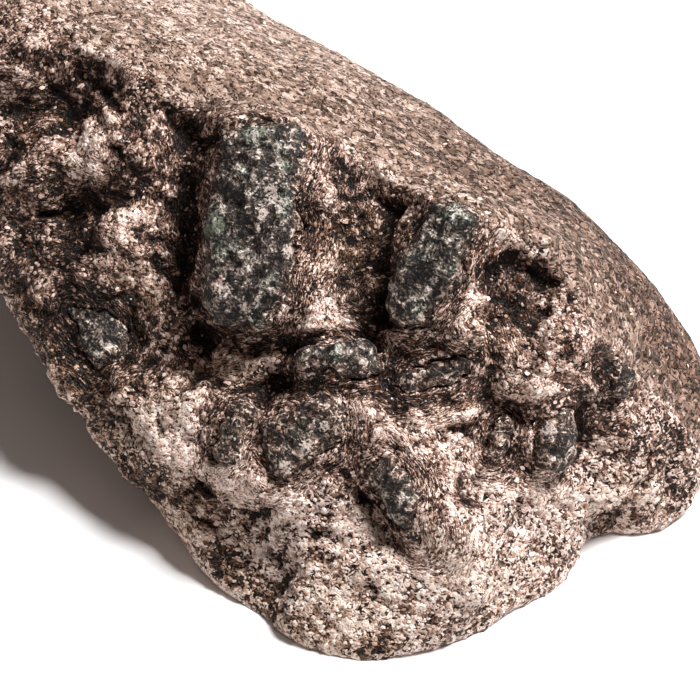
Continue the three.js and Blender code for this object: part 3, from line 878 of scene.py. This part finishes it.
scatter, given = new_group("flake_scatter", "GeometryNodeTree", dict(
    Geometry="Geometry",
    Share="String",
    Density="Float",
    Length="Float",
    Narrowest="Float",
    Broadest="Float",
    Seed="Int",
    Material="Material",
), dict(Geometry="Geometry"))
share = add_node(
    scatter, "GeometryNodeInputNamedAttribute", {"Name": given["Share"]}, data_type="FLOAT"
)
spots = add_node(scatter, "GeometryNodeDistributePointsOnFaces", {
    "Mesh": given["Geometry"],
    "Density": maths(scatter, "MULTIPLY", share.outputs[0], given["Density"]),
    "Seed": given["Seed"],
}, distribute_method="RANDOM")
lie_here = add_node(
    scatter, "GeometryNodeInputNamedAttribute", {"Name": "lie"}, data_type="FLOAT_VECTOR"
)
flat_turn = add_node(scatter, "FunctionNodeAxesToRotation", {
    0: spots.outputs["Normal"],
    1: lie_here.outputs[0],
}, primary_axis="Z", secondary_axis="X")
tilt = add_node(scatter, "FunctionNodeEulerToRotation", {
    0: random_value(scatter, "FLOAT_VECTOR", -tilt_limit, tilt_limit, 21),
})
turn = add_node(scatter, "FunctionNodeRotateRotation", {
    0: flat_turn.outputs[0],
    1: tilt.outputs[0],
}, rotation_space="LOCAL")
big_or_small = maths(scatter, "POWER", random_value(scatter, "FLOAT", 0.45, 1.0, 22), 1.6)
length = maths(scatter, "MULTIPLY", big_or_small, given["Length"])
how_broad = random_value(scatter, "FLOAT", given["Narrowest"], given["Broadest"], 23)
breadth = maths(scatter, "MULTIPLY", length, how_broad)
thickness = maths(scatter, "MULTIPLY", breadth, thickness_for_breadth)
flake_size = add_node(scatter, "ShaderNodeCombineXYZ", {0: length, 1: breadth, 2: thickness})
lens = add_node(scatter, "GeometryNodeMeshUVSphere", {"Segments": 5, "Rings": 2, "Radius": 1.0})
placed = add_node(scatter, "GeometryNodeInstanceOnPoints", {
    "Points": spots.outputs["Points"],
    "Instance": lens.outputs["Mesh"],
    "Rotation": turn.outputs[0],
    "Scale": flake_size.outputs[0],
})
numbered = add_node(scatter, "GeometryNodeStoreNamedAttribute", {
    "Geometry": placed.outputs[0],
    "Name": "tone",
    "Value": random_value(scatter, "FLOAT", 0.0, 1.0, 24),
}, data_type="FLOAT", domain="INSTANCE")
real = add_node(scatter, "GeometryNodeRealizeInstances", {0: numbered.outputs[0]})
coated = add_node(scatter, "GeometryNodeSetMaterial", {
    "Geometry": real.outputs[0],
    "Material": given["Material"],
})
add_node(scatter, "NodeGroupOutput", {0: coated.outputs[0]})
socket_ids = {
    item.name: item.identifier for item in scatter.interface.items_tree if item.in_out == "INPUT"
}

for flake_name, share_name, per_square_mm, longest, narrowest, broadest, seed, colours in flake_kinds:
    dull, plain, bright = colours
    material, tree = new_material(flake_name)
    tone = maths(tree, "MULTIPLY", read_out(tree, "tone"), read_out(tree, "shade"))
    tint = mixed(tree, between(tree, tone, 0.0, 0.6), colour(dull), colour(plain))
    tint = mixed(tree, between(tree, tone, 0.6, 1.0), tint, colour(bright))
    shine = maths(tree, "FRACT", maths(tree, "MULTIPLY", tone, 7.0))
    coat(tree, tint, between(tree, shine, -0.7, 1.6), specular=0.5)
    carrier = new_object(flake_name + "_carrier", ground)
    strewn = carrier.modifiers.new("strewn", "NODES")
    strewn.node_group = scatter
    for socket_name, value in dict(
        Share=share_name,
        Density=per_square_mm * square_mm_in_square_metre,
        Length=longest,
        Narrowest=narrowest,
        Broadest=broadest,
        Seed=seed,
        Material=material,
    ).items():
        strewn[socket_ids[socket_name]] = value
    strewn_flakes = new_object(flake_name, mesh_made_by(carrier))
    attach(strewn_flakes, "root")


# The floor and the light
# A white table top that runs out of view, one soft lamp from the upper right and a little behind,
# and an even white surround that fills the shadows.
floor_half = 3.0
floor_white = (0.92, 0.91, 0.91, 1)
floor_roughness = 0.6
lamp_size, lamp_watts, lamp_distance = 0.30, 12.5, 0.8
surround_tint = (1, 0.87, 0.81, 1)
surround_strength = 0.15

floor_mesh = bpy.data.meshes.new("floor")
floor_mesh.from_pydata([
    (-floor_half, -floor_half, 0), (floor_half, -floor_half, 0),
    (floor_half, floor_half, 0), (-floor_half, floor_half, 0),
], [], [(0, 1, 2, 3)])
floor = new_object("floor", floor_mesh)
floor_material = bpy.data.materials.new("white_table")
floor_material.use_nodes = True
floor_shader = floor_material.node_tree.nodes["Principled BSDF"]
floor_shader.inputs["Base Color"].default_value = floor_white
floor_shader.inputs["Roughness"].default_value = floor_roughness
floor_mesh.materials.append(floor_material)

lamp_data = bpy.data.lights.new("key", "AREA")
lamp_data.shape = "DISK"
lamp_data.size = lamp_size
lamp_data.energy = lamp_watts
lamp = new_object("key", lamp_data)
backward = Vector((-math.sin(sight_turn), math.cos(sight_turn), 0))
lamp_from = (across * 0.47 + backward * 0.06 + Vector((0, 0, 1)) * 0.88).normalized()
lamp.location = view_middle + lamp_from * lamp_distance
lamp.rotation_euler = lamp_from.to_track_quat("Z", "Y").to_euler()

surround = bpy.data.worlds.new("surround")
scene.world = surround
surround.use_nodes = True
background = surround.node_tree.nodes["Background"]
background.inputs["Color"].default_value = surround_tint
background.inputs["Strength"].default_value = surround_strength
scene.view_settings.view_transform = "Standard"
scene.view_settings.look = "None"
